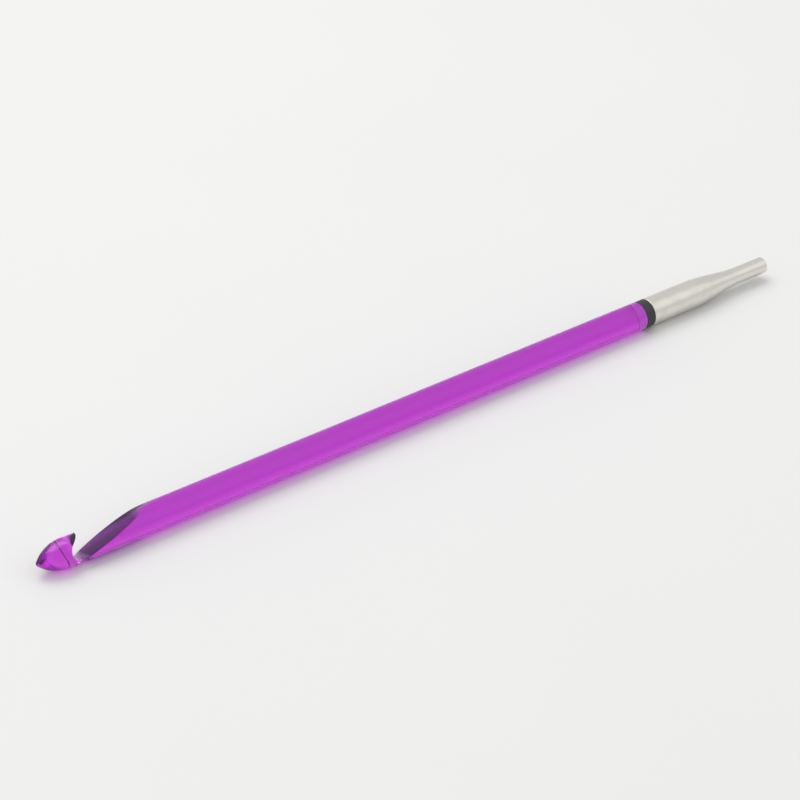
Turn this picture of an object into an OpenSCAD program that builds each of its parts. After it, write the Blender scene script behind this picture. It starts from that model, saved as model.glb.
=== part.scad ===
// Crochet hook for a screw-on cord, lying on its side.
//
// A clear acrylic rod is turned to a pointed nose at one end, and a throat is milled
// across it behind the nose. The other end is turned down to a spigot, which carries a
// black spacer ring and is glued into the front socket of a plated metal ferrule. The
// ferrule narrows to a slim neck with a threaded socket for the cord's screw.
//
// Frame: +X runs along the rod from the nose to the ferrule, and +Z is up. The origin
// is on the surface that the rod lies on, below the middle of its length.

/* [Overall] */
// Length from the nose to the end of the ferrule
hook_l = 150; // [120:1:190]
// Diameter of the rod, which is the hook size
rod_d = 5; // [4.2:0.1:6]

/* [Nose] */
// Length over which the blank swells from the point to the full diameter
nose_l = 5.2; // [4.4:0.1:7]
// Radius of the rounded point
nose_tip_r = 0.45; // [0.2:0.05:0.8]

/* [Throat] */
// Distance from the nose to the point of the lip
lip_x = 7.55; // [7:0.05:9]
// Radius that the point of the lip is polished to
lip_r = 0.22; // [0.1:0.02:0.4]
// Angle by which the face under the lip slopes back towards the nose
undercut_a = 54; // [40:1:56]
// Radius of the throat's floor
floor_r = 1.6; // [1:0.05:1.7]
// Thickness of the rod that is left below the throat
neck_t = 0.9; // [0.8:0.05:1.4]
// Slope of the ramp that rises from the throat to the shaft
ramp_a = 18; // [14:1:24]
// Radius of the long curve that blends the ramp into the shaft
blend_r = 10; // [5:1:20]
// Angle by which the throat leans away from straight up, as the rod lies
throat_lean = 22; // [-45:1:45]

/* [Spigot and spacer ring] */
// Diameter of the turned-down end of the rod
spigot_d = 3.4; // [3:0.1:3.6]
// Length of the spigot that reaches into the ferrule
spigot_l = 9; // [6:0.5:10]
// Number of glue grooves round the spigot
groove_n = 3; // [0:1:4]
// Width of one glue groove
groove_w = 0.6; // [0.3:0.1:0.8]
// Depth of one glue groove
groove_h = 0.15; // [0.1:0.05:0.25]
// Width of the spacer ring along the rod
ring_w = 1.9; // [1:0.1:3]
// Step by which the ring's rim lies below the rod's surface
ring_step = 0.04; // [0:0.02:0.15]
// Radial clearance of the ring on the spigot
ring_gap = 0.05; // [0.02:0.01:0.1]

/* [Ferrule] */
// Length of the whole ferrule
ferrule_l = 27.2; // [24:0.2:32]
// Length of its straight front, at the rod's diameter
ferrule_front_l = 9.5; // [9:0.1:12]
// Length of the slim neck at its end
neck_l = 5.6; // [4:0.1:7]
// Diameter of the slim neck
neck_d = 2.95; // [2.8:0.05:3.4]
// Small chamfer round the front edge
front_chamfer = 0.12; // [0.05:0.01:0.2]
// Radius that the rear edge is rounded to
rear_r = 0.2; // [0.1:0.02:0.3]
// Thickness of the glue between the spigot and the ferrule's front socket
glue_t = 0.1; // [0.05:0.01:0.15]
// Room for glue beyond the end of the spigot
glue_end = 0.3; // [0.1:0.1:0.6]
// Depth of the conical countersink at the mouth of the cord's socket
sink_h = 0.25; // [0.1:0.05:0.35]
// Diameter of the socket's threaded wall, between the thread's crests
thread_d = 1.6; // [1.4:0.05:1.8]
// Length of the threaded wall
thread_l = 6.5; // [4:0.5:8]

/* [Hidden] */
$fn = 96;
rod_r = rod_d / 2;
arc_n = 10;                    // steps along each rounded stretch of an outline
cut_w = rod_d + 2;             // width of the throat's cutter, across the rod
over = 0.5;                    // how far a cutter reaches past what it cuts
drill_point_a = 59;            // half angle of the drill that leaves a blind hole's end

shaft_l = hook_l - ferrule_l - ring_w;
ferrule_x = hook_l - ferrule_l;
socket_d = spigot_d + 2 * glue_t;
socket_l = spigot_l + glue_end;
front_r = rod_r;
neck_r = neck_d / 2;
taper_l = ferrule_l - ferrule_front_l - neck_l;
spigot_total_l = ring_w + spigot_l;
groove_step = spigot_l / (groove_n + 1);

// The nose is a round arc that meets the rod's side and the small circle of the point
// without a kink, so its radius and the place where they meet follow from the sizes.
nose_r = (pow(nose_l - nose_tip_r, 2) + pow(rod_r, 2) - pow(nose_tip_r, 2))
         / (2 * (rod_r - nose_tip_r));
nose_a = atan2(nose_l - nose_tip_r, nose_r - rod_r);

// The throat's outline is drawn in X along the rod and H, the height above its axis.
floor_c_h = neck_t - rod_r + floor_r;
floor_c_x = lip_x + (floor_r + (floor_c_h - rod_r) * sin(undercut_a)) / cos(undercut_a);
ramp_from = [floor_c_x + floor_r * sin(ramp_a), floor_c_h - floor_r * cos(ramp_a)];
ramp_offset = ramp_from[1] * cos(ramp_a) - ramp_from[0] * sin(ramp_a);
blend_c_h = rod_r - blend_r;
blend_c_x = (blend_c_h * cos(ramp_a) + blend_r - ramp_offset) / sin(ramp_a);
run_out_a = 3;                 // slope at which the blend leaves the rod's surface
// Circle of the lip's point, inside the rod's surface and the face below the lip
lip_c_h = rod_r - lip_r;
lip_c_x = lip_x - (lip_r + lip_r * sin(undercut_a)) / cos(undercut_a);

// Points on an arc round centre c, from angle a0 to a1
function arc(c, r, a0, a1, n) =
    [for (i = [0:n]) let (a = a0 + (a1 - a0) * i / n) [c[0] + r * cos(a), c[1] + r * sin(a)]];

// Share of the way down a smooth S from 1 to 0, for t from 0 to 1
function ease(t) = (1 + cos(180 * t)) / 2;

// Turns a profile of [x, radius] points about the rod's axis
module turned(points) {
    rotate([0, 90, 0]) rotate_extrude() polygon([for (p = points) [p[1], p[0]]]);
}

// A cylinder along the rod
module bar(x, l, r) {
    translate([x, 0, 0]) rotate([0, 90, 0]) cylinder(h = l, r = r);
}

// The blind end that a drill leaves, pointing towards -X or +X
module drill_point(x, r, side) {
    translate([x, 0, 0]) rotate([0, 90 * side, 0]) cylinder(h = r / tan(drill_point_a), r1 = r, r2 = 0);
}

// Puts what is drawn along the X axis, nose at 0, in the row's frame
module laid_down() {
    translate([-hook_l / 2, 0, rod_r]) children();
}

module blank() {
    tip = arc([nose_tip_r, 0], nose_tip_r, 180, 90 + nose_a, arc_n / 2);
    side = arc([nose_l, rod_r - nose_r], nose_r, 90 + nose_a, 90, arc_n * 2);
    turned(concat(tip, [for (i = [1:len(side) - 1]) side[i]], [[shaft_l, rod_r], [shaft_l, 0]]));
}

module throat_outline() {
    lip = arc([lip_c_x, lip_c_h], lip_r, 90, -undercut_a, arc_n);
    floor_arc = arc([floor_c_x, floor_c_h], floor_r, 180 - undercut_a, 270 + ramp_a, arc_n);
    blend = arc([blend_c_x, blend_c_h], blend_r, 90 + ramp_a, 90 + run_out_a, arc_n);
    last = blend[arc_n];
    rise = rod_r + over - last[1];
    polygon(concat([[lip_c_x, rod_r + over]], lip, floor_arc, blend,
                   [[last[0] + rise / tan(run_out_a), rod_r + over]]));
}

module throat() {
    rotate([-throat_lean, 0, 0]) rotate([90, 0, 0])
        linear_extrude(height = cut_w, center = true) throat_outline();
}

module spigot() {
    difference() {
        bar(shaft_l - over, spigot_total_l + over, spigot_d / 2);
        if (groove_n > 0)
            for (i = [1:groove_n])
                difference() {
                    bar(ferrule_x + i * groove_step - groove_w / 2, groove_w, spigot_d);
                    bar(ferrule_x + i * groove_step - groove_w, 2 * groove_w, spigot_d / 2 - groove_h);
                }
    }
}

module socket_space() {
    bar(ferrule_x, socket_l, socket_d / 2);
    drill_point(ferrule_x + socket_l, socket_d / 2, 1);
}

module hook_shaft() {
    color([0.66, 0.2, 0.74, 0.6]) laid_down() {
        difference() {
            blank();
            throat();
        }
        spigot();
    }
}

module spacer_ring() {
    color([0.12, 0.12, 0.13]) laid_down() difference() {
        bar(shaft_l, ring_w, rod_r - ring_step);
        bar(shaft_l - over, ring_w + 2 * over, spigot_d / 2 + ring_gap);
    }
}

module ferrule() {
    front = [[ferrule_x, 0], [ferrule_x, front_r - front_chamfer], [ferrule_x + front_chamfer, front_r]];
    taper = [for (i = [0:2 * arc_n]) let (t = i / (2 * arc_n))
        [ferrule_x + ferrule_front_l + taper_l * t, neck_r + (front_r - neck_r) * ease(t)]];
    rear = arc([hook_l - rear_r, neck_r - rear_r], rear_r, 90, 0, arc_n / 2);
    color([0.78, 0.77, 0.74]) laid_down() difference() {
        turned(concat(front, taper, rear, [[hook_l, 0]]));
        socket_space();
        bar(hook_l - sink_h - thread_l, thread_l + sink_h + over, thread_d / 2);
        drill_point(hook_l - sink_h - thread_l, thread_d / 2, -1);
        translate([hook_l - sink_h, 0, 0]) rotate([0, 90, 0])
            cylinder(h = sink_h, r1 = thread_d / 2, r2 = thread_d / 2 + sink_h);
    }
}

module adhesive_bond() {
    color([0.85, 0.8, 0.6, 0.7]) laid_down() difference() {
        socket_space();
        spigot();
    }
}

hook_shaft();
spacer_ring();
ferrule();
adhesive_bond();
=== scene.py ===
# %% [markdown]
# # A crochet hook for a screw-on cord
#
# The real object is a clear violet acrylic rod, 5 mm thick and 150 mm long with its metal
# end. One end is turned to a point and has a throat milled across it. The other end sits
# in a black spacer ring and a nickel-plated ferrule, whose slim neck is threaded inside.
#
# The lesson builds it in the order a workshop would: the rod, the ring, the ferrule, then
# the finishes, then a table to lay it on. Each piece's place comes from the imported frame.

# %% Load the frame
import bpy
import math
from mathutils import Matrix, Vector


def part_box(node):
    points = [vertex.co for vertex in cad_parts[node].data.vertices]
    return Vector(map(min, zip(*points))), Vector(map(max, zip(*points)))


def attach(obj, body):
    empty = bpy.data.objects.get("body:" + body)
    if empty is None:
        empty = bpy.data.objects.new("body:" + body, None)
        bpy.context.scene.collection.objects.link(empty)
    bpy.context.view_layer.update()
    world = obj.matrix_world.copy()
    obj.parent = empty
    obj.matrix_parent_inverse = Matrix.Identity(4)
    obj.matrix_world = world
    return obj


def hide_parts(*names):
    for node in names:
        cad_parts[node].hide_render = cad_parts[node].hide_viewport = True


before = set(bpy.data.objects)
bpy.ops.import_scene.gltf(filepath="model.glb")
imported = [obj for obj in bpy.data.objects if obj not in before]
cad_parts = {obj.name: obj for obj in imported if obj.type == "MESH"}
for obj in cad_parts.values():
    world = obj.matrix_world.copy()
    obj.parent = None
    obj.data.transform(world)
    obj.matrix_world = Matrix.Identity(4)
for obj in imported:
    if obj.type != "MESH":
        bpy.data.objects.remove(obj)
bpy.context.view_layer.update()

# %% [markdown]
# ## Where things are
#
# The CAD gives each piece a box. The rod lies along X, so its axis runs through the middle
# of its box, and the joints between the pieces are where their boxes end. Working from the
# boxes means that nothing has to be nudged into place by eye.

# %% Measure the pieces
MM = 0.001                       # one millimetre in Blender's metres


def span_mm(node):
    """Lowest and highest corner of a CAD node, in millimetres."""
    low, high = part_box(node)
    return low / MM, high / MM


rod_low, rod_high = span_mm("hook_shaft")
ring_low, ring_high = span_mm("spacer_ring")
ferrule_low, ferrule_high = span_mm("ferrule")

nose_x = rod_low.x
axis_z = (ferrule_low.z + ferrule_high.z) / 2
rod_r = (ferrule_high.z - ferrule_low.z) / 2
shoulder = ring_low.x - nose_x
spigot_end = rod_high.x - nose_x
print(f"rod radius {rod_r:.2f}, shoulder {shoulder:.1f} mm and spigot end {spigot_end:.1f} mm from the nose")

# %% [markdown]
# ## Sums written as sums
#
# Geometry and shader trees share the same Math node. Wrapping a socket in a small class
# lets us write `a * b + 1` in Python and get the Math nodes, which is far easier to read
# and change than nodes placed one by one.

# %% A socket that can be used in a sum


class Value:
    """A number socket that Python's operators turn into Math nodes."""

    def __init__(self, graph, socket):
        self.graph = graph
        self.socket = socket

    def __add__(self, other):
        return self.graph.math("ADD", self, other)

    def __sub__(self, other):
        return self.graph.math("SUBTRACT", self, other)

    def __rsub__(self, other):
        return self.graph.math("SUBTRACT", other, self)

    def __mul__(self, other):
        return self.graph.math("MULTIPLY", self, other)

    def __truediv__(self, other):
        return self.graph.math("DIVIDE", self, other)

    def __neg__(self):
        return self.graph.math("MULTIPLY", self, -1.0)

    __radd__ = __add__
    __rmul__ = __mul__


class Graph:
    """A node tree that is built by calling it."""

    def __init__(self, tree):
        self.tree = tree

    def node(self, kind, settings=None, inputs=None, out=0):
        """Adds one node: its settings first, then its sockets' values or links."""
        made = self.tree.nodes.new(kind)
        for name, value in (settings or {}).items():
            setattr(made, name, value)
        for name, value in (inputs or {}).items():
            self.plug(made.inputs[name], value)
        return Value(self, made.outputs[out])

    def plug(self, socket, value):
        if isinstance(value, Value):
            self.tree.links.new(value.socket, socket)
        else:
            socket.default_value = value

    def math(self, operation, *values, clamp=False):
        settings = {"operation": operation, "use_clamp": clamp}
        return self.node("ShaderNodeMath", settings, dict(enumerate(values)))

    def vector_math(self, operation, *values, out=0, scale=None):
        inputs = dict(enumerate(values))
        if scale is not None:
            inputs["Scale"] = scale
        return self.node("ShaderNodeVectorMath", {"operation": operation}, inputs, out)

    def combine(self, x, y, z):
        return self.node("ShaderNodeCombineXYZ", None, {0: x, 1: y, 2: z})

    def split(self, vector):
        made = self.node("ShaderNodeSeparateXYZ", None, {0: vector}).socket.node
        return [Value(self, socket) for socket in made.outputs]


# %% A geometry tree with named inputs

SOCKET_TYPES = {
    "float": "NodeSocketFloat",
    "int": "NodeSocketInt",
    "vector": "NodeSocketVector",
    "geometry": "NodeSocketGeometry",
    "material": "NodeSocketMaterial",
}


class GeometryGraph(Graph):
    """A geometry tree whose sizes are inputs with names."""

    def __init__(self, name, inputs, outputs):
        super().__init__(bpy.data.node_groups.new(name, "GeometryNodeTree"))
        self.sockets = {}
        for label, kind in inputs.items():
            self.sockets[label] = self.add_socket(label, "INPUT", kind).identifier
        for label, kind in outputs.items():
            self.add_socket(label, "OUTPUT", kind)
        self.entry = self.tree.nodes.new("NodeGroupInput")
        self.exit = self.tree.nodes.new("NodeGroupOutput")

    def add_socket(self, label, side, kind):
        return self.tree.interface.new_socket(label, in_out=side, socket_type=SOCKET_TYPES[kind])

    def input(self, label):
        return Value(self, self.entry.outputs[label])

    def output(self, label, value):
        self.tree.links.new(value.socket, self.exit.inputs[label])

    def call(self, group, inputs):
        """Uses another tree as one node."""
        return self.node("GeometryNodeGroup", {"node_tree": group.tree}, inputs)

    def pick(self, test, if_true, if_false):
        return self.node("GeometryNodeSwitch", {"input_type": "FLOAT"},
                         {"Switch": test, "True": if_true, "False": if_false})

    def less(self, a, b):
        settings = {"data_type": "FLOAT", "operation": "LESS_THAN"}
        return self.node("FunctionNodeCompare", settings, {0: a, 1: b})


def run_tree(name, graph, values, start=None):
    """Runs a geometry tree once and returns its result as a plain mesh object."""
    carrier = bpy.data.objects.new(name + "_carrier", start or bpy.data.meshes.new(name + "_start"))
    bpy.context.scene.collection.objects.link(carrier)
    modifier = carrier.modifiers.new("tree", "NODES")
    modifier.node_group = graph.tree
    for label, value in values.items():
        modifier[graph.sockets[label]] = value
    depsgraph = bpy.context.evaluated_depsgraph_get()
    mesh = bpy.data.meshes.new_from_object(carrier.evaluated_get(depsgraph), depsgraph=depsgraph)
    mesh.name = name
    bpy.data.objects.remove(carrier)
    piece = bpy.data.objects.new(name, mesh)
    bpy.context.scene.collection.objects.link(piece)
    print(f"{name}: {len(mesh.vertices)} points, {len(mesh.polygons)} faces")
    return piece


# %% [markdown]
# ## The rod and its hook
#
# The rod is one piece of acrylic. A lathe gives it the pointed nose, a cutter mills the
# throat across it, and polishing softens every edge. It could be cut with a Boolean, but
# that leaves sharp edges and long thin faces, which show badly in clear plastic.
#
# Instead we write the shape as a rule: for any point, how far is it from the surface? Such
# a distance can be rounded where two surfaces meet, just as polishing does. Blender's
# Volume Cube samples the rule, Volume to Mesh skins it, and a few corrections then move
# every point exactly onto the surface.

# %% Sizes of the hook, in millimetres and degrees
NOSE_LENGTH = 5.2                # over which the blank swells to its full diameter
POINT_RADIUS = 0.45
LIP_PLACE = 7.55                 # the lip's point, from the nose
UNDERCUT = math.radians(54)      # how far the face under the lip slopes back
FLOOR_RADIUS = 1.6
NECK_THICKNESS = 0.9            # what is left of the rod below the throat
RAMP_SLOPE = math.radians(18)
BLEND_RADIUS = 10.0
RUN_OUT = math.radians(3)        # slope at which the ramp's blend leaves the rod
LEAN = math.radians(22)          # how far the throat leans away from straight up
EDGE_RADIUS = 0.12               # what polishing takes off the edges
SPIGOT_RADIUS = 1.7
RING_WIDTH = ring_high.x - ring_low.x
GROOVES = 3                      # glue grooves round the spigot
GROOVE_WIDTH = 0.6
GROOVE_DEPTH = 0.15
SHOULDER_ROUNDING = 0.08
SPIGOT_ROUNDING = 0.1

# %% Work out the centres that the arcs turn about
nose_arc = ((NOSE_LENGTH - POINT_RADIUS) ** 2 + rod_r ** 2 - POINT_RADIUS ** 2) / (2 * (rod_r - POINT_RADIUS))
nose_angle = math.atan2(NOSE_LENGTH - POINT_RADIUS, nose_arc - rod_r)
floor_h = NECK_THICKNESS - rod_r + FLOOR_RADIUS
floor_x = LIP_PLACE + (FLOOR_RADIUS + (floor_h - rod_r) * math.sin(UNDERCUT)) / math.cos(UNDERCUT)
ramp_from = (floor_x + FLOOR_RADIUS * math.sin(RAMP_SLOPE), floor_h - FLOOR_RADIUS * math.cos(RAMP_SLOPE))
ramp_offset = ramp_from[1] * math.cos(RAMP_SLOPE) - ramp_from[0] * math.sin(RAMP_SLOPE)
blend_h = rod_r - BLEND_RADIUS
blend_x = (blend_h * math.cos(RAMP_SLOPE) + BLEND_RADIUS - ramp_offset) / math.sin(RAMP_SLOPE)
print(f"throat floor at {floor_x:.2f} mm, ramp ends at {blend_x:.2f} mm from the nose")

# %% The rule: distance from the hook's surface


def hook_rule():
    """A tree that gives the distance from the surface, in mm, at a point in mm from the nose."""
    g = GeometryGraph("hook_rule", {"Point": "vector"}, {"Distance": "float"})
    x, y, z = g.split(g.input("Point"))
    rho = g.math("SQRT", y * y + z * z)
    # the turned blank: a long arc for the nose, a small ball for its point
    behind = g.math("MINIMUM", x - NOSE_LENGTH, 0.0)
    lift = rho + (nose_arc - rod_r)
    turned = g.math("SQRT", behind * behind + lift * lift) - nose_arc
    from_point = x - POINT_RADIUS
    ball = g.math("SQRT", from_point * from_point + rho * rho) - POINT_RADIUS
    on_ball = from_point * math.cos(nose_angle) + rho * math.sin(nose_angle)
    blank = g.pick(g.less(on_ball, 0.0), ball, turned)
    # the throat is the same all the way across, so only the height h above the axis counts
    h = y * math.sin(LEAN) + z * math.cos(LEAN)
    face = (h - rod_r) * math.sin(UNDERCUT) - (x - LIP_PLACE) * math.cos(UNDERCUT)
    ramp = h * math.cos(RAMP_SLOPE) - x * math.sin(RAMP_SLOPE) - ramp_offset
    run_out_h = rod_r - BLEND_RADIUS + BLEND_RADIUS * math.cos(RUN_OUT)
    run_out_x = blend_x - BLEND_RADIUS * math.sin(RUN_OUT)
    run_out = (h - run_out_h) * math.cos(RUN_OUT) - (x - run_out_x) * math.sin(RUN_OUT)
    bx = x - blend_x
    bh = h - blend_h
    bend = g.math("SQRT", bx * bx + bh * bh) - BLEND_RADIUS
    before_bend = bx * math.cos(RAMP_SLOPE) + bh * math.sin(RAMP_SLOPE)
    past_bend = bx * math.cos(RUN_OUT) + bh * math.sin(RUN_OUT)
    top = g.pick(g.less(before_bend, 0.0), ramp, g.pick(g.less(past_bend, 0.0), bend, run_out))
    fx = x - floor_x
    fh = h - floor_h
    floor = FLOOR_RADIUS - g.math("SQRT", fx * fx + fh * fh)
    below_face = fx * math.sin(UNDERCUT) + fh * math.cos(UNDERCUT)
    below_ramp = fx * math.cos(RAMP_SLOPE) + fh * math.sin(RAMP_SLOPE)
    in_corner = g.less(g.math("MAXIMUM", below_face, below_ramp), 0.0)
    kept = g.pick(in_corner, floor, g.math("MINIMUM", -face, top))
    return g, x, rho, blank, kept


def round_meet(g, a, b, radius):
    """Where two surfaces meet, the inside of both, with a rounded edge."""
    a_near = g.math("MAXIMUM", a + radius, 0.0)
    b_near = g.math("MAXIMUM", b + radius, 0.0)
    inside = g.math("MINIMUM", g.math("MAXIMUM", a, b), -radius)
    return inside + g.math("SQRT", a_near * a_near + b_near * b_near)


rule, x, rho, blank, kept = hook_rule()
head = round_meet(rule, blank, kept, EDGE_RADIUS)
body = round_meet(rule, head, x - shoulder, SHOULDER_ROUNDING)
groove_step = (spigot_end - shoulder - RING_WIDTH) / (GROOVES + 1)
from_groove = spigot_end         # farther than any groove, until the loop finds the nearest
for i in range(GROOVES):
    groove_x = shoulder + RING_WIDTH + (i + 1) * groove_step
    from_groove = rule.math("MINIMUM", from_groove, rule.math("ABSOLUTE", x - groove_x))
groove = rule.math("MINIMUM", GROOVE_WIDTH / 2 - from_groove, rho - (SPIGOT_RADIUS - GROOVE_DEPTH))
spigot = round_meet(rule, rho - SPIGOT_RADIUS, x - spigot_end, SPIGOT_ROUNDING)
spigot = rule.math("MAXIMUM", rule.math("MAXIMUM", spigot, groove), (shoulder - 1.0) - x)
rule.output("Distance", rule.math("MINIMUM", body, spigot))
print("the rule takes", len(rule.tree.nodes), "nodes")

# %% [markdown]
# The distance also tells which way the surface faces: it grows fastest straight out of the
# surface. Reading it a hair's breadth to either side of a point gives that direction, which
# we need twice, to pull points onto the surface and to shade them smoothly.

# %% The slope of the distance
HAIR = 0.01                      # mm to either side


def slope_tree(rule):
    g = GeometryGraph("hook_slope", {"Point": "vector"}, {"Distance": "float", "Slope": "vector"})
    point = g.input("Point")
    slopes = []
    for axis in ((HAIR, 0, 0), (0, HAIR, 0), (0, 0, HAIR)):
        ahead = g.call(rule, {"Point": g.vector_math("ADD", point, axis)})
        back = g.call(rule, {"Point": g.vector_math("SUBTRACT", point, axis)})
        slopes.append((ahead - back) / (2 * HAIR))
    g.output("Distance", g.call(rule, {"Point": point}))
    g.output("Slope", g.combine(*slopes))
    return g


slope = slope_tree(rule)

# %% [markdown]
# The straight shaft needs no detail along its length, so the volume is made in a space
# where the shaft is squeezed short, and stretched back afterwards. That spends the faces
# on the head and the throat, where the eye goes.

# %% Skin the rule
CELL = 0.095                     # mm across the rod
CELL_ALONG = 0.13                # mm along it, at the head
SQUEEZE_FROM = 24.0              # mm from the nose, where the stretching begins
SQUEEZE_OVER = 12.0              # mm of squeezed space that stand in for the shaft
UNSQUEEZED = 3.0                 # mm before the shoulder that keep their length
MARGIN = 0.4                     # mm of empty space round the rod in its volume
shaft_stretch = shoulder - SQUEEZE_FROM - SQUEEZE_OVER - UNSQUEEZED


def rod_tree(rule, slope):
    g = GeometryGraph("hook_rod",
                      {"Centre": "vector", "Stretch": "float", "Material": "material"},
                      {"Geometry": "geometry"})
    position = g.node("GeometryNodeInputPosition")
    stretch = g.input("Stretch")

    def unsqueeze(point):
        x, y, z = g.split(point)
        share = g.math("ADD", (x - SQUEEZE_FROM) / SQUEEZE_OVER, 0.0, clamp=True)
        return g.combine(x + stretch * (share * share * (3.0 - 2.0 * share)), y, z)

    distance = g.call(rule, {"Point": unsqueeze(position)})
    squeezed_end = spigot_end - shaft_stretch
    low = (-0.5, -rod_r - MARGIN, -rod_r - MARGIN)
    high = (squeezed_end + 0.5, rod_r + MARGIN, rod_r + MARGIN)
    across = round((high[1] - low[1]) / CELL)
    volume = g.node("GeometryNodeVolumeCube", None, {
        "Density": g.math("SUBTRACT", 0.5, distance, clamp=True), "Min": low, "Max": high,
        "Resolution X": round((high[0] - low[0]) / CELL_ALONG),
        "Resolution Y": across, "Resolution Z": across})
    skin = g.node("GeometryNodeVolumeToMesh", {"resolution_mode": "GRID"},
                  {"Volume": volume, "Threshold": 0.5, "Adaptivity": 0.0})
    real = g.node("GeometryNodeSetPosition", None, {"Geometry": skin, "Position": unsqueeze(position)})
    # pull every point onto the surface, a few times over
    first = g.tree.nodes.new("GeometryNodeRepeatInput")
    last = g.tree.nodes.new("GeometryNodeRepeatOutput")
    first.pair_with_output(last)
    g.plug(first.inputs["Iterations"], 4)
    g.plug(first.inputs["Geometry"], real)
    away = g.call(slope, {"Point": position})
    lean = Value(g, away.socket.node.outputs["Slope"])
    steepness = g.vector_math("DOT_PRODUCT", lean, lean, out="Value")
    step = g.vector_math("SCALE", lean, scale=-(away / g.math("MAXIMUM", steepness, 0.2)))
    pulled = g.node("GeometryNodeSetPosition", None,
                    {"Geometry": Value(g, first.outputs["Geometry"]), "Offset": step})
    g.plug(last.inputs["Geometry"], pulled)
    # millimetres from the nose become metres in the frame
    metres = g.vector_math("ADD", g.vector_math("SCALE", position, scale=MM), g.input("Centre"))
    placed = g.node("GeometryNodeSetPosition", None,
                    {"Geometry": Value(g, last.outputs["Geometry"]), "Position": metres})
    back = g.vector_math("SCALE", g.vector_math("SUBTRACT", position, g.input("Centre")), scale=1 / MM)
    facing = Value(g, g.call(slope, {"Point": back}).socket.node.outputs["Slope"])
    smooth = g.node("GeometryNodeSetShadeSmooth", None, {"Geometry": placed, "Shade Smooth": True})
    shaded = g.node("GeometryNodeSetMeshNormal", {"mode": "FREE", "domain": "POINT"},
                    {"Mesh": smooth, "Custom Normal": g.vector_math("NORMALIZE", facing)})
    whole = g.node("GeometryNodeRealizeInstances", None, {"Geometry": shaded})
    g.output("Geometry", g.node("GeometryNodeSetMaterial", None,
                                {"Geometry": whole, "Material": g.input("Material")}))
    return g


# %% [markdown]
# ## Parts turned on a lathe
#
# The ring and the ferrule are turned, so each is one outline spun about the rod's axis.
# The tree lays out a grid with one row for every point of the outline and one column for
# every step round the axis, then wraps it round. The same tree cuts the socket's thread: it
# pushes the marked points outward along a helix.

# %% A tree that spins an outline


def turned_tree():
    g = GeometryGraph("turned_part",
                      {"Outline": "geometry", "Centre": "vector", "Sides": "int", "Thread Pitch": "float",
                       "Thread Depth": "float", "Material": "material"}, {"Geometry": "geometry"})
    outline = g.input("Outline")
    sides = g.input("Sides")
    count = g.node("GeometryNodeAttributeDomainSize", None, {"Geometry": outline})
    grid = g.node("GeometryNodeMeshGrid", None, {"Vertices X": count, "Vertices Y": sides + 1})
    row = g.math("FLOOR", (g.node("GeometryNodeInputIndex") + 0.5) / (sides + 1))
    turn = (g.node("GeometryNodeInputIndex") - row * (sides + 1)) / sides

    def sample(kind, value):
        return g.node("GeometryNodeSampleIndex", {"data_type": kind},
                      {"Geometry": outline, "Value": value, "Index": row})

    x, r, _ = g.split(sample("FLOAT_VECTOR", g.node("GeometryNodeInputPosition")))
    marked = g.node("GeometryNodeInputNamedAttribute", {"data_type": "FLOAT"}, {"Name": "thread"})
    cut = sample("FLOAT", marked)
    wave = g.math("PINGPONG", x / g.input("Thread Pitch") + turn, 0.5) * 2.0
    r = r + cut * g.input("Thread Depth") * g.math("SMOOTH_MIN", wave * 1.3, 1.0, 0.3)
    angle = turn * math.tau
    spun = g.combine(x, r * g.math("SINE", angle), r * g.math("COSINE", angle))
    metres = g.vector_math("ADD", g.vector_math("SCALE", spun, scale=MM), g.input("Centre"))
    wrapped = g.node("GeometryNodeSetPosition", None, {"Geometry": grid, "Position": metres})
    closed = g.node("GeometryNodeMergeByDistance", None, {"Geometry": wrapped, "Distance": 1e-7})
    smooth = g.node("GeometryNodeSetShadeSmooth", None, {"Geometry": closed, "Shade Smooth": True})
    whole = g.node("GeometryNodeRealizeInstances", None, {"Geometry": smooth})
    g.output("Geometry", g.node("GeometryNodeSetMaterial", None,
                                {"Geometry": whole, "Material": g.input("Material")}))
    return g


# %% Outlines with rounded corners
HOLD = 0.03                      # mm from a rounding to the point that holds the flat beside it


def rounded(corners, steps=5):
    """Points of an outline whose corners are (x, radius, rounding), all in millimetres."""
    points = []
    for i, (x, r, rounding) in enumerate(corners):
        here = Vector((x, r))
        if rounding == 0:
            points.append(here)
            continue
        before = Vector(corners[i - 1][:2])
        after = Vector(corners[(i + 1) % len(corners)][:2])
        into = (before - here).normalized()
        out = (after - here).normalized()
        half = into.angle(out) / 2
        reach = rounding / math.tan(half)
        centre = here + (into + out).normalized() * (rounding / math.sin(half))
        start = here + into * reach - centre
        sweep = start.angle_signed(here + out * reach - centre)
        points.append(here + into * (reach + HOLD))
        for step in range(steps + 1):
            angle = -sweep * step / steps
            turned = Vector((start.x * math.cos(angle) - start.y * math.sin(angle),
                             start.x * math.sin(angle) + start.y * math.cos(angle)))
            points.append(centre + turned)
        points.append(here + out * (reach + HOLD))
    return points


def outline_mesh(name, points, thread=lambda x, r: 0.0):
    """An open chain of points, each marked with how much of the thread it takes."""
    mesh = bpy.data.meshes.new(name)
    mesh.from_pydata([(x, r, 0) for x, r in points], [(i, i + 1) for i in range(len(points) - 1)], [])
    marks = mesh.attributes.new("thread", "FLOAT", "POINT")
    marks.data.foreach_set("value", [thread(x, r) for x, r in points])
    return mesh


# %% [markdown]
# ### The spacer ring
#
# A short black sleeve fills the gap between the shaft's shoulder and the ferrule. It sits a
# little below both, so it needs only a rounded rectangle for an outline. It stops a hair
# short of the shoulder: plastic with air behind it is a mirror from inside.

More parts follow.
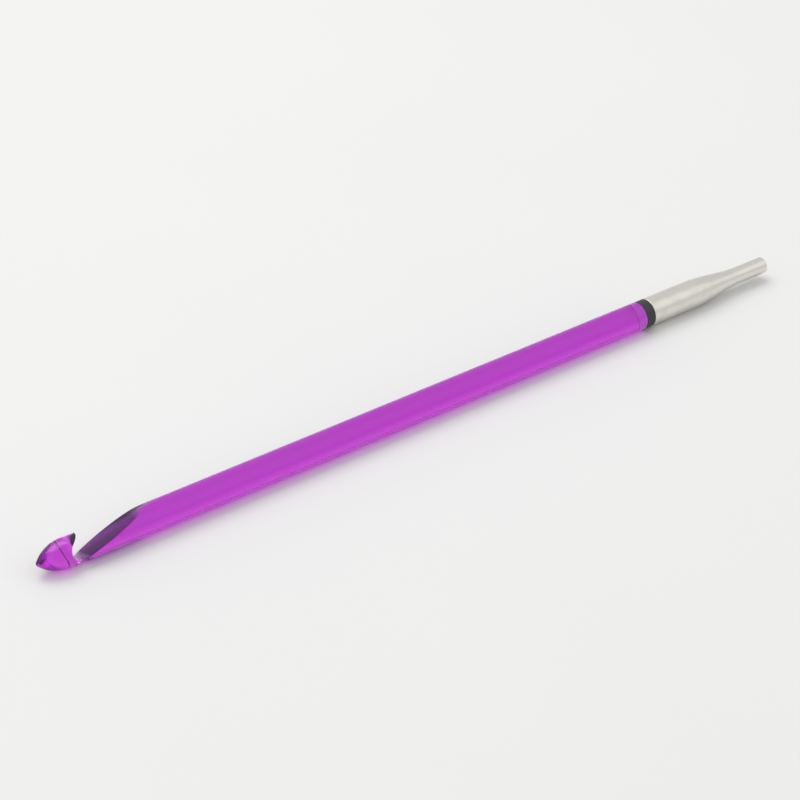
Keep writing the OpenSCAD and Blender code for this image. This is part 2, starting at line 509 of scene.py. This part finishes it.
# %% Outline of the spacer ring
ring_outer = (ring_high.z - ring_low.z) / 2
ring_inner = SPIGOT_RADIUS + 0.05
AIR_GAP = 0.03                   # mm between the shoulder and the ring
ring_points = rounded([(AIR_GAP, ring_inner, 0.05), (AIR_GAP, ring_outer, 0.06),
                       (RING_WIDTH, ring_outer, 0.06), (RING_WIDTH, ring_inner, 0.05)])
ring_points.append(ring_points[0])
print(f"spacer ring: {RING_WIDTH:.2f} mm wide, {len(ring_points)} points in its outline")

# %% [markdown]
# ### The ferrule
#
# The ferrule starts at the rod's own diameter, narrows in a smooth S and ends in the neck
# that every hook of the set shares. Its outline goes from the bottom of the glue socket,
# over the outside, and back in to the bottom of the threaded socket, so one spin makes a
# closed body with both holes.

# %% Outline of the ferrule
FRONT_LENGTH = 9.5
NECK_LENGTH = 5.6
NECK_RADIUS = 2.95 / 2
SOCKET_RADIUS = SPIGOT_RADIUS + 0.1
SOCKET_LENGTH = 9.3
DRILL_ANGLE = math.radians(59)
SINK = 0.25
THREAD_RADIUS = 0.8
THREAD_LENGTH = 6.5
THREAD_PITCH = 0.4
THREAD_DEPTH = 0.2
ferrule_length = ferrule_high.x - ferrule_low.x
taper_length = ferrule_length - FRONT_LENGTH - NECK_LENGTH


def taper_radius(share):
    return NECK_RADIUS + (rod_r - NECK_RADIUS) * (1 + math.cos(math.pi * share)) / 2


TAPER_STEPS = 48
thread_end = ferrule_length - SINK
thread_start = thread_end - THREAD_LENGTH
ferrule_points = rounded([(SOCKET_LENGTH + SOCKET_RADIUS / math.tan(DRILL_ANGLE), 0, 0),
                          (SOCKET_LENGTH, SOCKET_RADIUS, 0.1), (0, SOCKET_RADIUS, 0.06),
                          (0, rod_r, 0.1), (FRONT_LENGTH - 1, rod_r, 0)])
ferrule_points += [Vector((FRONT_LENGTH + taper_length * i / TAPER_STEPS, taper_radius(i / TAPER_STEPS)))
                   for i in range(TAPER_STEPS + 1)]
ferrule_points += rounded([(ferrule_length - 1, NECK_RADIUS, 0), (ferrule_length, NECK_RADIUS, 0.2),
                           (ferrule_length, THREAD_RADIUS + SINK, 0.04), (thread_end, THREAD_RADIUS, 0)])
THREAD_STEPS = 8 * round(THREAD_LENGTH / THREAD_PITCH)
ferrule_points += [Vector((thread_end - THREAD_LENGTH * i / THREAD_STEPS, THREAD_RADIUS))
                   for i in range(1, THREAD_STEPS + 1)]
ferrule_points.append(Vector((thread_start - THREAD_RADIUS / math.tan(DRILL_ANGLE), 0)))


def thread_share(x, r):
    """The thread fades in at the bottom of the socket and out at its mouth."""
    if r > THREAD_RADIUS + 0.01 or r < THREAD_RADIUS - 0.01:
        return 0.0
    return max(0.0, min(1.0, (x - thread_start) / 0.5, (thread_end + 0.1 - x) / 0.2))


print(f"ferrule: {ferrule_length:.1f} mm long, {len(ferrule_points)} points in its outline")

# %% [markdown]
# ## Finishes
#
# Every finish is worked out from the point's own place on the object, in millimetres, so
# nothing has to be unwrapped. Roughness and a very slight bump carry most of the life;
# colours hardly change across such small parts.

# %% A material tree that hands out places in millimetres


class Finish(Graph):
    """A Principled material and the sums that feed it."""

    def __init__(self, name, **plain):
        self.material = bpy.data.materials.new(name)
        self.material.use_nodes = True
        super().__init__(self.material.node_tree)
        self.tree.nodes.clear()
        self.output = self.tree.nodes.new("ShaderNodeOutputMaterial")
        self.surface = self.tree.nodes.new("ShaderNodeBsdfPrincipled")
        self.tree.links.new(self.surface.outputs["BSDF"], self.output.inputs["Surface"])
        for label, value in plain.items():
            self.surface.inputs[label.replace("_", " ")].default_value = value
        metres = self.node("ShaderNodeTexCoord", out="Object")
        self.place = self.vector_math("SCALE", metres, scale=1 / MM)

    def feed(self, label, value):
        self.plug(self.surface.inputs[label], value)

    def noise(self, scale, detail=2.0, stretch=(1, 1, 1)):
        """Soft noise from 0 to 1; the scale is in bumps per millimetre."""
        place = self.vector_math("MULTIPLY", self.place, stretch)
        return self.node("ShaderNodeTexNoise", None, {"Vector": place, "Scale": scale, "Detail": detail})

    def between(self, value, low, high):
        """0 below low, 1 above high, and smooth in between."""
        return self.node("ShaderNodeMapRange", {"interpolation_type": "SMOOTHSTEP"},
                         {"Value": value, "From Min": low, "From Max": high})

    def mix(self, share, a, b):
        return self.node("ShaderNodeMix", {"data_type": "RGBA"},
                         {"Factor": share, 6: (*a, 1) if isinstance(a, tuple) else a,
                          7: (*b, 1) if isinstance(b, tuple) else b}, out=2)

    def bump(self, height_mm):
        self.feed("Normal", self.node("ShaderNodeBump", None, {"Height": height_mm * MM, "Distance": 1.0}))


# %% [markdown]
# ### Violet acrylic
#
# Clear plastic gets its colour from what light crosses, not from its surface. The surface
# lets everything through, and a Volume Absorption node takes out green as the light goes
# along. Thin places such as the neck then come out pink, and thick ones deep violet.
#
# Two places differ. The milled ramp keeps the cutter's marks, so it is satin, not shiny.
# Its dark violet tint is painted shade, standing in for the dark band that the light
# leaves on the ramp. The spigot is enclosed by glue and metal, and would show as a black
# band inside the rod, so it is given a weak glow. That is a stand-in for the light that a
# real glued joint scatters, and not something the piece does.

# %% The acrylic
VIOLET = (0.858, 0.0, 0.903, 1)  # what passes through
STRENGTH_OF_COLOUR = 620.0       # per metre of plastic
GLUED_GLOW = (0.26, 0.4, 0.28)

acrylic = Finish("violet_acrylic", IOR=1.49)
acrylic.surface.inputs["Base Color"].default_value = (1, 1, 1, 1)
acrylic.surface.inputs["Transmission Weight"].default_value = 1.0
rubbed = acrylic.between(acrylic.noise(0.35, 3), 0.45, 0.7)
hairlines = acrylic.between(acrylic.noise(1.2, 2, stretch=(0.25, 6, 6)), 0.62, 0.74)
x, y, z = acrylic.split(acrylic.vector_math("SUBTRACT", acrylic.place, (nose_x, 0, axis_z)))
height = y * math.sin(LEAN) + z * math.cos(LEAN)
off_ramp = acrylic.math("ABSOLUTE", height * math.cos(RAMP_SLOPE) - x * math.sin(RAMP_SLOPE) - ramp_offset)
# mask of the milled ramp: it makes the ramp satin and carries the ramp's painted shade
milled_satin_and_shade = (1.0 - acrylic.between(off_ramp, 0.1, 0.35)) * acrylic.between(x, floor_x + 0.6, floor_x + 1.6)
milled_satin_and_shade = milled_satin_and_shade * (1.0 - acrylic.between(x, blend_x - 4.5, blend_x - 1.5))
# painted shade: the milled ramp's base colour is darkened to deep violet, standing in for the dark band that
# light leaves there
ramp_painted_shade = acrylic.mix(acrylic.noise(0.9, 3), (0.06, 0.0, 0.1), (0.22, 0.03, 0.3))
acrylic.feed("Base Color", acrylic.mix(milled_satin_and_shade, (1.0, 1.0, 1.0), ramp_painted_shade))
radius = acrylic.math("SQRT", y * y + z * z)
glued = acrylic.between(x, shoulder - 0.03, shoulder + 0.01) * (1.0 - acrylic.between(radius, 1.75, 1.85))
acrylic.feed("Emission Color", acrylic.mix(glued, (0.0, 0.0, 0.0), GLUED_GLOW))
acrylic.surface.inputs["Emission Strength"].default_value = 1.0
acrylic.feed("Roughness", 0.09 + rubbed * 0.03 + hairlines * 0.05 + milled_satin_and_shade * 0.6)
acrylic.bump(acrylic.noise(1.1, 2) * 0.004 + hairlines * 0.0006)
absorbed = acrylic.node("ShaderNodeVolumeAbsorption", None, {"Color": VIOLET, "Density": STRENGTH_OF_COLOUR})
acrylic.plug(acrylic.output.inputs["Volume"], absorbed)
print("acrylic:", len(acrylic.tree.nodes), "nodes")

# %% [markdown]
# ### Black ring
#
# The ring is moulded plastic with a satin skin. Faint mottling keeps it from looking like a
# hole. Its bore is given a paler tone. This is painted light that stands in for light in the
# joint, because the clear rod shows the bore from inside, where it would look dark.

# %% The ring's plastic
black = Finish("black_plastic")
mottle = black.noise(2.2, 3)
plastic = black.mix(mottle, (0.016, 0.016, 0.018), (0.04, 0.039, 0.041))
_, y, z = black.split(black.vector_math("SUBTRACT", black.place, (0, 0, axis_z)))
# painted light: the bore is made pale so that the clear rod, looking into it from inside, does not show a
# dark band
bore_painted_light = 1.0 - black.between(black.math("SQRT", y * y + z * z), rod_r - 0.2, rod_r - 0.12)
black.feed("Base Color", black.mix(bore_painted_light, plastic, (0.62, 0.55, 0.6)))
black.feed("Roughness", 0.42 + mottle * 0.2)
black.bump(black.noise(5.0, 2) * 0.006)

# %% [markdown]
# ### Nickel plate
#
# The ferrule is plated after turning, which leaves faint rings round it. They blur its
# reflections along the rod, so a soft light shows as one broad gleam.

# %% The plate
nickel = Finish("nickel_plate", Metallic=1.0)
worn = nickel.between(nickel.noise(0.5, 4), 0.4, 0.75)
marks = nickel.noise(6.0, 2, stretch=(1, 0.05, 0.05))
nickel.feed("Base Color", nickel.mix(worn, (0.76, 0.745, 0.69), (0.71, 0.69, 0.63)))
nickel.feed("Roughness", 0.27 + worn * 0.06 + marks * 0.06)
nickel.bump(marks * 0.0025 + nickel.noise(2.5, 2) * 0.002)

# %% [markdown]
# ### Glue
#
# The cured glue is hidden between the spigot and the socket. It keeps its CAD shape and
# gets a milky amber colour with a few paler patches.

# %% The glue
amber = Finish("cured_epoxy")
patches = amber.between(amber.noise(0.9, 2), 0.4, 0.65)
amber.feed("Base Color", amber.mix(patches, (0.55, 0.46, 0.3), (0.72, 0.66, 0.5)))
amber.feed("Roughness", 0.25 + patches * 0.15)

# %% [markdown]
# ## Make the pieces
#
# Each tree runs once, and its result replaces the CAD piece of the same role. The glue is
# simple enough to stay as the CAD made it.

# %% Run the trees
centre = (nose_x * MM, 0.0, axis_z * MM)
rod_graph = rod_tree(rule, slope)
rod = run_tree("acrylic_hook", rod_graph, {"Centre": centre, "Stretch": shaft_stretch,
                                           "Material": acrylic.material})
turned = turned_tree()


def spin(name, outline, start_x, material, sides=128):
    return run_tree(name, turned, {
        "Centre": (start_x * MM, 0.0, axis_z * MM), "Sides": sides, "Thread Pitch": THREAD_PITCH,
        "Thread Depth": THREAD_DEPTH, "Material": material}, start=outline)


ring = spin("spacer_sleeve", outline_mesh("ring_outline", ring_points), ring_low.x, black.material)
ferrule = spin("plated_ferrule", outline_mesh("ferrule_outline", ferrule_points, thread_share),
               ferrule_low.x, nickel.material)

# %% Hand the pieces over
for piece, node, slot in ((rod, "hook_shaft", "acrylic"), (ring, "spacer_ring", "ring"),
                          (ferrule, "ferrule", "plated_metal")):
    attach(piece, "root")
    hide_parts(node)

# %% Finish the glue
# The glue keeps its CAD mesh, so only its material is set.
glue_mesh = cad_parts["adhesive_bond"].data
glue_mesh.materials.clear()
glue_mesh.materials.append(amber.material)
print("glue finish:", [m.name for m in glue_mesh.materials])

# %% [markdown]
# ## The table and the light
#
# The hook lies on a white table in an evenly bright room. A large soft key light stands
# beyond it and a weaker fill stands on the near side. What matters most for clear plastic is
# what surrounds it. A dark patch in the room can show as dark lines in the rod, so the room
# is kept plain.

# %% The table
table_mesh = bpy.data.meshes.new("table")
table_mesh.from_pydata([(-1.5, -1.5, 0), (1.5, -1.5, 0), (1.5, 1.5, 0), (-1.5, 1.5, 0)], [], [(0, 1, 2, 3)])
table = bpy.data.objects.new("table", table_mesh)
bpy.context.scene.collection.objects.link(table)
paper = Finish("white_table")
paper.feed("Base Color", paper.mix(paper.noise(0.02, 2), (0.8, 0.8, 0.795), (0.815, 0.815, 0.81)))
paper.feed("Roughness", 0.6 + paper.noise(0.05, 2) * 0.05)
table_mesh.materials.append(paper.material)

# %% Lights
AIM = Vector(((nose_x + 70.5) * MM, 0.0, axis_z * MM))


def softbox(name, azimuth, elevation, distance, size, power):
    """A square light that faces the middle of the hook."""
    light = bpy.data.lights.new(name, "AREA")
    light.shape = "RECTANGLE"
    light.size, light.size_y = size
    light.energy = power
    holder = bpy.data.objects.new(name, light)
    a, e = math.radians(azimuth), math.radians(elevation)
    back = Vector((math.sin(a) * math.cos(e), -math.cos(a) * math.cos(e), math.sin(e)))
    holder.location = AIM + back * distance
    holder.rotation_euler = back.to_track_quat("Z", "Y").to_euler()
    bpy.context.scene.collection.objects.link(holder)


softbox("key", 190, 64, 0.9, (0.7, 0.7), 3.4)
softbox("fill", 45, 45, 0.9, (0.9, 0.7), 0.6)
world = bpy.data.worlds.new("room")
world.use_nodes = True
background = world.node_tree.nodes["Background"]
background.inputs["Color"].default_value = (1, 1, 1, 1)
background.inputs["Strength"].default_value = 0.72
bpy.context.scene.world = world
bpy.context.scene.view_settings.view_transform = "Standard"

# %% [markdown]
# ## The camera
#
# A long lens from above, a tenth of a turn round from the side, so that the rod runs away
# from the viewer and both ends stay in sight.

# %% Place the camera
AZIMUTH = math.radians(-36.654)
ELEVATION = math.radians(33.46)
DISTANCE = 0.4649
FOCAL = 126.77
AIM_OFFSET = (0.002230, -0.004214)      # where the aim sits, as shares of the distance

back = Vector((math.sin(AZIMUTH) * math.cos(ELEVATION), -math.cos(AZIMUTH) * math.cos(ELEVATION),
               math.sin(ELEVATION)))
right = Vector((math.cos(AZIMUTH), math.sin(AZIMUTH), 0.0))
up = back.cross(right)
camera_data = bpy.data.cameras.new("camera")
camera_data.lens = FOCAL
camera_data.clip_start = 0.01
camera = bpy.data.objects.new("camera", camera_data)
camera.location = AIM + (back - right * AIM_OFFSET[0] - up * AIM_OFFSET[1]) * DISTANCE
camera.rotation_euler = back.to_track_quat("Z", "Y").to_euler()
bpy.context.scene.collection.objects.link(camera)
bpy.context.scene.camera = camera
print("camera at", [round(v, 4) for v in camera.location])
